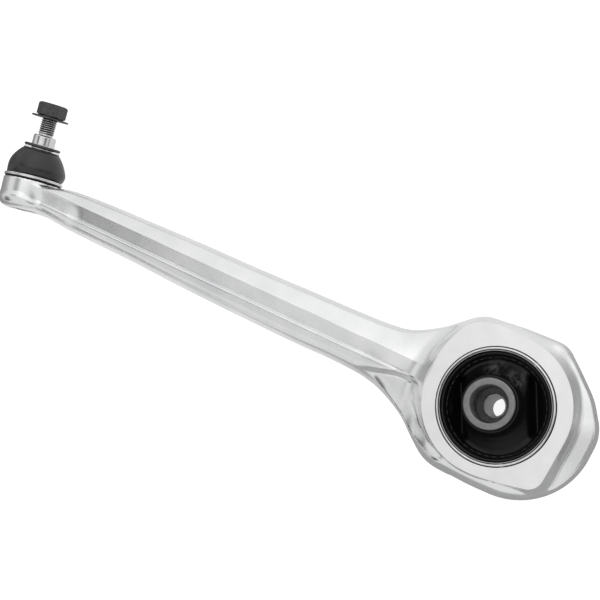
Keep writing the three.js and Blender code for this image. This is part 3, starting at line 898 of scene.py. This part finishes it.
def make_bush_rubber():
    """The spring: a band of rubber holds the sleeve, between two deep pockets beside the band."""
    inner = SLEEVE_RADIUS + 0.12
    corners = both_ways([
        [inner, 0, 0], [inner, 26.4], [inner + 0.4, 27.0], [17.2, 26.3, 0.5], [18.0, 23.5, 1],
        [19.4, 20.0, 1.5], [22.4, 17.2, 2], [26.5, 15.2, 2], [28.8, 15.6, 1.6],
        [30.6, 21.2, 1.6], [31.6, 22.9, 0.6], [32.6, 23.0, 0.5], [LIP_RADIUS, 22.2],
        [LIP_RADIUS, 0, 0],
    ])
    profile = softened(corners, 0.3, 4)
    steps = np.hypot(*np.diff(profile, axis=0, append=profile[:1]).T)
    fine = []
    for point, ahead, length in zip(profile, np.roll(profile, -1, axis=0), steps):
        pieces = max(1, int(length / 0.5)) if abs(point[0] - ahead[0]) > 0.05 else 1
        fine.extend(point + (ahead - point) * k / pieces for k in range(pieces))
    bulges = random.Random(7)
    waves = [(bulges.randrange(2, 8), bulges.uniform(0, 6.28), bulges.uniform(0.1, 0.3))
             for _ in range(5)]
    heading = math.radians(POCKET_HEADING)

    def mould(points):
        """Sinks the pockets, moves small rings over to the sleeve and makes the skin undulate."""
        x, height, z = points.T
        radius = np.hypot(x, z)
        angle = np.arctan2(x, z)
        share = np.clip((29.0 - radius) / (29.0 - 17.5), 0, 1)
        x = x + SLEEVE_OFFSET * share
        across = np.abs(x * math.cos(heading) - z * math.sin(heading))
        along = np.abs(x * math.sin(heading) + z * math.cos(heading))
        pocket = smoothstep(-np.abs(across - 22.8), -5.4, 0) * smoothstep(-along, -22, -15)
        pocket *= smoothstep(radius, 17.6, 19.0) * smoothstep(-radius, -29.8, -27.5)
        free = np.clip((radius - 17.5) / 3, 0, 1) * np.clip((29.5 - radius) / 3, 0, 1)
        lift = sum(size * np.sin(count * angle + start) for count, start, size in waves)
        sunk = np.maximum(np.abs(height) - POCKET_FLOOR, 0) * pocket
        height = height + np.sign(height) * (lift * free * (1 - pocket) - sunk)
        return np.stack([x, height, z], axis=1)

    lathe_piece("bush_rubber_moulding", fine, BUSH, BUSH_RUBBER, "arm",
                ["bush_rubber"], bend=mould, sharp=75)


# ---------------------------------------------------------------- ball joint
def smooth_curve(points, steps):
    """A smooth curve through the points, which keeps its ends."""
    points = np.asarray(points, float)
    padded = np.concatenate([2 * points[:1] - points[1:2], points, 2 * points[-1:] - points[-2:-1]])
    result = []
    for a, b, c, d in zip(padded, padded[1:], padded[2:], padded[3:]):
        for k in range(steps):
            t = k / steps
            result.append(0.5 * (2 * b + (c - a) * t + (2 * a - 5 * b + 4 * c - d) * t ** 2
                                 + (3 * b - a - 3 * c + d) * t ** 3))
    result.append(points[-1])
    return [list(point) for point in result]


def follow_stud(points):
    """Turns each point towards the stud, the more the higher it is, as the boot's neck does."""
    across = Vector((0, 1, 0)).cross(STUD_AXIS_IN_HOUSING).normalized()
    tilt = Vector((0, 1, 0)).angle(STUD_AXIS_IN_HOUSING)
    axis = np.array(across)
    angle = (smoothstep(points[:, 1], 10, 25) * tilt)[:, None]
    leaning = np.array(STUD_AXIS_IN_HOUSING) * (1, 0, 1)
    bulge = np.exp(-((points[:, 1] - 14) / 5) ** 2) * smoothstep(points[:, 1], 9, 11)
    points = points + 0.4 * bulge[:, None] * leaning / np.linalg.norm(leaning)
    points = points + 0.8 * bulge[:, None] * (1, 0, 0)
    along = (points @ axis)[:, None] * axis
    return (points * np.cos(angle) + np.cross(axis, points) * np.sin(angle)
            + along * (1 - np.cos(angle)))


def make_boot():
    outside = smooth_curve([[19.9, 9.3], [20.6, 10.6], [21.1, 13.6], [20.9, 16.4], [19.9, 19.8],
                            [18.2, 23.2], [16.0, 26.4], [13.9, 28.9]], 6)
    inside = smooth_curve([[13.4, 25.6], [15.6, 22.6], [17.6, 18.6], [18.6, 15], [18.2, 11.4],
                           [17.2, 9.2]], 5)
    profile = softened([
        [13.8, 6.5], [20.9, 6.5, 0.25], [20.9, 6.95, 0.15], [19.7, 7.1, 0.2], [19.7, 9.1, 0.2],
    ], 0.2).tolist() + outside + softened([
        [13.3, 29.6, 0.3], [13.1, 30.3, 0.3], [10.9, 30.4, 0.3], [10.9, 25.7, 0.2],
    ], 0.3).tolist() + inside + [[13.8, 8.0]]
    boot = lathe_piece("rolled_dust_boot", profile, HOUSING, BOOT_RUBBER, None,
                       ["dust_boot"], bend=follow_stud, sharp=40)
    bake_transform(boot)


def make_spring_ring():
    """Flat spring wire wound twice round the boot's foot."""
    lathe_piece("boot_spring_ring", softened([
        [19.9, 7.15], [21.5, 7.15], [21.5, 7.95], [20.9, 8.05, 0.05], [21.4, 8.15], [21.4, 8.9],
        [19.9, 8.9],
    ], 0.25), HOUSING, ZINC_STEEL, "arm", ["boot_lower_ring"])


def thread(radius, height, angle):
    """A V thread with flattened crests, cut into the rows that lie between its two ends."""
    low, high = SHOULDER_TOP + 1.4, NUT_BASE + NUT_HEIGHT + 0.9
    turn = height / THREAD_PITCH - angle / (2 * math.pi)
    wave = 2 * np.abs(turn - np.round(turn))
    depth = 0.92 * np.clip(wave * 1.25 - 0.15, 0, 1)
    depth *= smoothstep(height, low, low + 0.8) * smoothstep(-height, -high, -high + 0.4)
    return np.where((height > low) & (radius > 4), np.maximum(radius - depth, 3), radius)


def make_stud():
    low, high = SHOULDER_TOP + 1.4, NUT_BASE + NUT_HEIGHT + 0.2
    rows = 230
    shank = [[THREAD_RADIUS, height] for height in np.linspace(low + 0.3, high, rows)]
    profile = [[0, -BALL_RADIUS]] + arc(BALL_RADIUS, -87, 60, 44) + softened([
        [5.9, 11.2, 0.6], [5.6, 14], [5.9, 20, 3], [7.6, 23.6, 1.5], [7.6, FLANGE_HEIGHT - 0.3],
        [8.7, FLANGE_HEIGHT], [8.7, FLANGE_HEIGHT + 2.2], [8.3, FLANGE_HEIGHT + 2.5],
        [8.3, SHOULDER_TOP - 1.1], [7.4, SHOULDER_TOP, 0.3], [5.2, SHOULDER_TOP, 0.3],
        [5.0, SHOULDER_TOP + 0.6], [5.1, SHOULDER_TOP + 1.1], [THREAD_RADIUS, low + 0.3],
    ], 0.3, closed=False).tolist()[:-1] + shank + [
        [THREAD_RADIUS - 0.1, high + 0.1], [THREAD_RADIUS - 0.8, high + 0.8],
        [THREAD_RADIUS - 1.1, high + 0.8], [3.4, high + 0.62], [2.6, high + 0.2], [0, high + 0.1],
    ]
    stud = lathe_piece("ball_stud_turned", profile, STUD, BRIGHT_STEEL, "stud",
                       ["ball_stud"], AROUND_SMALL, ripple=thread, on_axis=True)
    stud.data.materials.append(PHOSPHATED_STEEL)
    to_stud = np.array(STUD.inverted())
    for face in stud.data.polygons:
        x, height, z = to_stud[:3, :3] @ (np.array(face.center) / MM) + to_stud[:3, 3]
        # Darker in the roots of the thread: these faces take the dark phosphated material.
        in_root = math.hypot(x, z) < THREAD_RADIUS - 0.42
        face.material_index = int(in_root and low < height < high)
    lathe_piece("stud_seat_ring", softened([
        [9.0, FLANGE_HEIGHT], [12.5, FLANGE_HEIGHT, 0.2], [13.3, FLANGE_HEIGHT + 0.6],
        [13.3, FLANGE_HEIGHT + 1.5, 0.4], [12.4, FLANGE_HEIGHT + 2.1], [9.0, FLANGE_HEIGHT + 2.1],
    ], 0.3), STUD, PHOSPHATED_STEEL, "stud", ["stud_flange_ring"])


def make_nut():
    base = NUT_BASE + WASHER_THICKNESS + CLEARANCE
    top = base + NUT_HEIGHT
    flat = NUT_ACROSS_FLATS / 2
    corner = NUT_ACROSS_FLATS / math.sqrt(3) - 0.12
    bore = THREAD_RADIUS + 0.25
    chamfers = [[flat - 0.6, base, 0]]
    chamfers += [[flat - 0.6 + t * (corner + 0.6 - flat), base + 0.9 * t, 0]
                 for t in np.linspace(0.1, 1, 10)]
    chamfers += [[corner, height, 0] for height in np.linspace(base + 1.8, top - 1.8, 8)]
    chamfers += [[flat - 0.3 + t * (corner + 0.3 - flat), top - 0.95 * t, 0]
                 for t in np.linspace(1, 0.1, 10)]
    chamfers += [[flat - 0.3, top, 0]]
    profile = [[bore, base + 0.9], [bore + 0.9, base], *[row[:2] for row in chamfers],
               [bore + 0.9, top], [bore, top - 0.9]]

    def hexagon(radius, height, angle):
        apart = (angle / math.radians(60)) % 1 - 0.5
        across = flat / np.cos(apart * math.radians(60))
        return np.where(radius > flat - 0.61, np.minimum(radius, across), radius)

    heading = Matrix.Rotation(math.radians(NUT_HEADING), 4, "Y")
    lathe_piece("hex_nut_m12", profile, STUD @ heading, PHOSPHATED_STEEL, "nut",
                ["hex_nut"], AROUND_LARGE, ripple=hexagon, sharp=24)
    lathe_piece("loose_washer", softened([
        [THREAD_RADIUS + 0.4, NUT_BASE], [WASHER_RADIUS, NUT_BASE],
        [WASHER_RADIUS, NUT_BASE + WASHER_THICKNESS], [THREAD_RADIUS + 0.4, NUT_BASE + WASHER_THICKNESS],
    ], 0.3), STUD, PHOSPHATED_STEEL, "washer", ["nut_washer"])


def make_ball_joint():
    cap = [[0, -14.4], [8.6, -14.4], [9.4, -14.9], [15.6, -14.9], [15.6, -13.4], [14.9, -13.0],
           [9.0, -13.0], [8.2, -12.9], [0, -12.9]]
    lathe_piece("housing_cap_pressed", softened(cap, 0.5, closed=False), HOUSING, ZINC_STEEL, "arm",
                ["housing_cap"], on_axis=True)
    lathe_piece("cap_seal", softened([[14.9, -12.7], [15.6, -12.7], [15.6, -11.5], [14.9, -11.5]],
                                     0.35), HOUSING, SEAL_RUBBER, "arm",
                ["cap_seal_ring"], AROUND_SMALL)
    lathe_piece("preload_cone", softened([
        [9.6, -11.0], [14.5, -12.7], [14.5, -11.8], [10.0, -9.7], [9.6, -9.9],
    ], 0.25), HOUSING, CRIMPED_STEEL, "arm", ["liner_preload_ring"], AROUND_SMALL)
    wall = CAVITY_RADIUS - CLEARANCE
    liner = arc(BALL_RADIUS + 0.25, -50, 28, 24) + [[11.2, 5.9], [11.8, 5.6], [wall, 2.1],
                                                   [wall, -9.0], [wall - 0.5, -9.4]]
    lathe_piece("liner_socket", liner, HOUSING, ACETAL, "liner", ["bearing_liner"],
                AROUND_SMALL)
    make_spring_ring()
    make_boot()
    lathe_piece("slide_collar", softened([
        [7.9, 24.2], [10.6, 24.2], [10.6, 30.2], [7.9, 30.2],
    ], 0.4), STUD, BLACK_PLASTIC, "boot_collar", ["boot_slide_collar"], AROUND_SMALL)
    lathe_piece("neck_ring", softened([
        [9.2, 30.7], [12.9, 30.7], [12.9, 31.15], [9.2, 31.15],
    ], 0.15), STUD, ZINC_STEEL, "boot_collar", ["boot_upper_ring"])
    make_stud()
    make_nut()


def finish_carried_nodes():
    """Sealed inner pieces keep their CAD shapes and get these materials."""
    looks = {
        "bush_window_cage": GREY_STEEL,
        "channel_shell_inboard": BLACK_PLASTIC,
        "channel_shell_outboard": BLACK_PLASTIC,
        "travel_stop_inboard": BLACK_PLASTIC,
        "travel_stop_outboard": BLACK_PLASTIC,
    }
    for node, material in looks.items():
        for slot in bpy.data.objects[node].material_slots:
            slot.material = material


# ---------------------------------------------------------------- studio
DOME_BRIGHTNESS = 0.88
TABLE_GLOW = 0.9                # painted glow of the table as the camera sees it, bright enough to wash out shadows
TABLE_BRIGHTER_TOWARDS = (-0.75, 0.66, 0)
NEAR_GLOW_ON_OBJECT = 0.15      # what the object receives from the table's darker side
FAR_GLOW_ON_OBJECT = 0.62       # and from its brighter side
TABLE_FADES_OUT = (0.405, 0.445)    # metres from the eye towards -X, between which the glow ends
SKY_FLOOR = 0.04                # no part of the dome is darker than this
SKY_PATCHES = [                 # [heading, elevation, inner, outer, change of brightness], in degrees
    [-139, 22, 12, 18, -0.88],
    [-98, -3, 8, 21, -0.55],
    [0, 4, 6, 20, -0.8],
    [0, 42, 8, 20, -0.7],
    [180, 4, 8, 22, -0.45],
    [180, 61, 6, 15, -0.65],
    [82, 42, 12, 45, 0.35],
]
CAMERA_PLACE = Vector((102.5, 9.3, 669.0)) * MM
CAMERA_FORWARD = Vector((-0.3531, -0.0003, -0.9356))
CAMERA_UPRIGHT = Vector((-0.3905, 0.9088, 0.1471))
CAMERA_LENS = 64.45


def make_floor():
    half = 6.0
    height = cad_box[0][2] - 0.0002
    corners = [(-half, -half), (half, -half), (half, half), (-half, half)]
    mesh = bpy.data.meshes.new("floor")
    mesh.from_pydata([(x, y, height) for x, y in corners], [], [(0, 1, 2, 3)])
    look = Look("pale_floor_painted_glow", grey(0.3), 0.8, 0.0, Specular_IOR_Level=0.1)
    look.tint(look.noise(400, 2), grey(0.29), grey(0.31))
    # Painted glow: the floor emits light. Camera rays see it at TABLE_GLOW; other rays see a weaker
    # glow, brighter towards one side and fading out beyond the ball joint.
    look.shader.inputs["Emission Color"].default_value = (1, 1, 1, 1)
    seen = look.nodes.new("ShaderNodeLightPath").outputs["Is Camera Ray"]
    rising = look.spread(look.compare("DOT_PRODUCT", TABLE_BRIGHTER_TOWARDS), NEAR_GLOW_ON_OBJECT,
                         FAR_GLOW_ON_OBJECT, 0.0, 0.08)
    fading = look.spread(look.compare("DOT_PRODUCT", (-1, 0, 0)), 1.0, 0.08, *TABLE_FADES_OUT)
    glow = look.combine("MULTIPLY", rising, fading)
    strength = look.nodes.new("ShaderNodeMix")
    look.links.new(seen, strength.inputs["Factor"])
    look.links.new(glow, strength.inputs["A"])
    strength.inputs["B"].default_value = TABLE_GLOW
    look.links.new(strength.outputs["Result"], look.shader.inputs["Emission Strength"])
    mesh.materials.append(look.material)
    floor = bpy.data.objects.new("floor", mesh)
    bpy.context.scene.collection.objects.link(floor)


def make_softbox(name, place, target, width, depth, radiance):
    """An area light of the given radiance, facing the target."""
    data = bpy.data.lights.new(name, "AREA")
    data.shape = "RECTANGLE"
    data.size, data.size_y = width, depth
    data.energy = radiance * math.pi * width * depth
    light = bpy.data.objects.new(name, data)
    light.location = place
    light.rotation_euler = (Vector(target) - Vector(place)).to_track_quat("-Z", "Y").to_euler()
    light.visible_camera = False
    bpy.context.scene.collection.objects.link(light)


def make_world():
    """An even white dome with darker and brighter patches, as in a tent with flags and lamps."""
    world = bpy.data.worlds.new("studio")
    world.use_nodes = True
    sky = Nodes(world.node_tree, "Generated")
    strength = DOME_BRIGHTNESS
    for heading, elevation, inner, outer, change in SKY_PATCHES:
        heading, elevation, inner, outer = map(math.radians, (heading, elevation, inner, outer))
        flat = math.cos(elevation)
        middle = (flat * math.cos(heading), flat * math.sin(heading), math.sin(elevation))
        patch = sky.spread(sky.compare("DOT_PRODUCT", middle), 0.0, change, math.cos(outer),
                           math.cos(inner), smooth=True)
        strength = sky.combine("ADD", patch, strength)
    strength = sky.combine("MAXIMUM", strength, SKY_FLOOR)
    sky.links.new(strength, sky.nodes["Background"].inputs["Strength"])
    sky.nodes["Background"].inputs["Color"].default_value = (1, 1, 1, 1)
    bpy.context.scene.world = world


def make_studio():
    bpy.context.scene.view_settings.view_transform = "Standard"
    make_world()
    make_softbox("overhead", (-0.5, 0.5, 1.8), (-0.17, 0.0, 0.0), 1.2, 1.2, 0.25)


def make_camera():
    forward = CAMERA_FORWARD.normalized()
    right = forward.cross(CAMERA_UPRIGHT).normalized()
    up = right.cross(forward)
    turn = Matrix((right, up, -forward)).transposed().to_4x4()
    data = bpy.data.cameras.new("camera")
    data.lens = CAMERA_LENS
    data.clip_start = 0.01
    camera = bpy.data.objects.new("camera", data)
    camera.matrix_world = Matrix.Translation(CAMERA_PLACE) @ turn
    bpy.context.scene.collection.objects.link(camera)
    bpy.context.scene.camera = camera


make_camera()
make_arm()
make_bush()
make_ball_joint()
finish_carried_nodes()
make_floor()
make_studio()

bpy.context.view_layer.update()
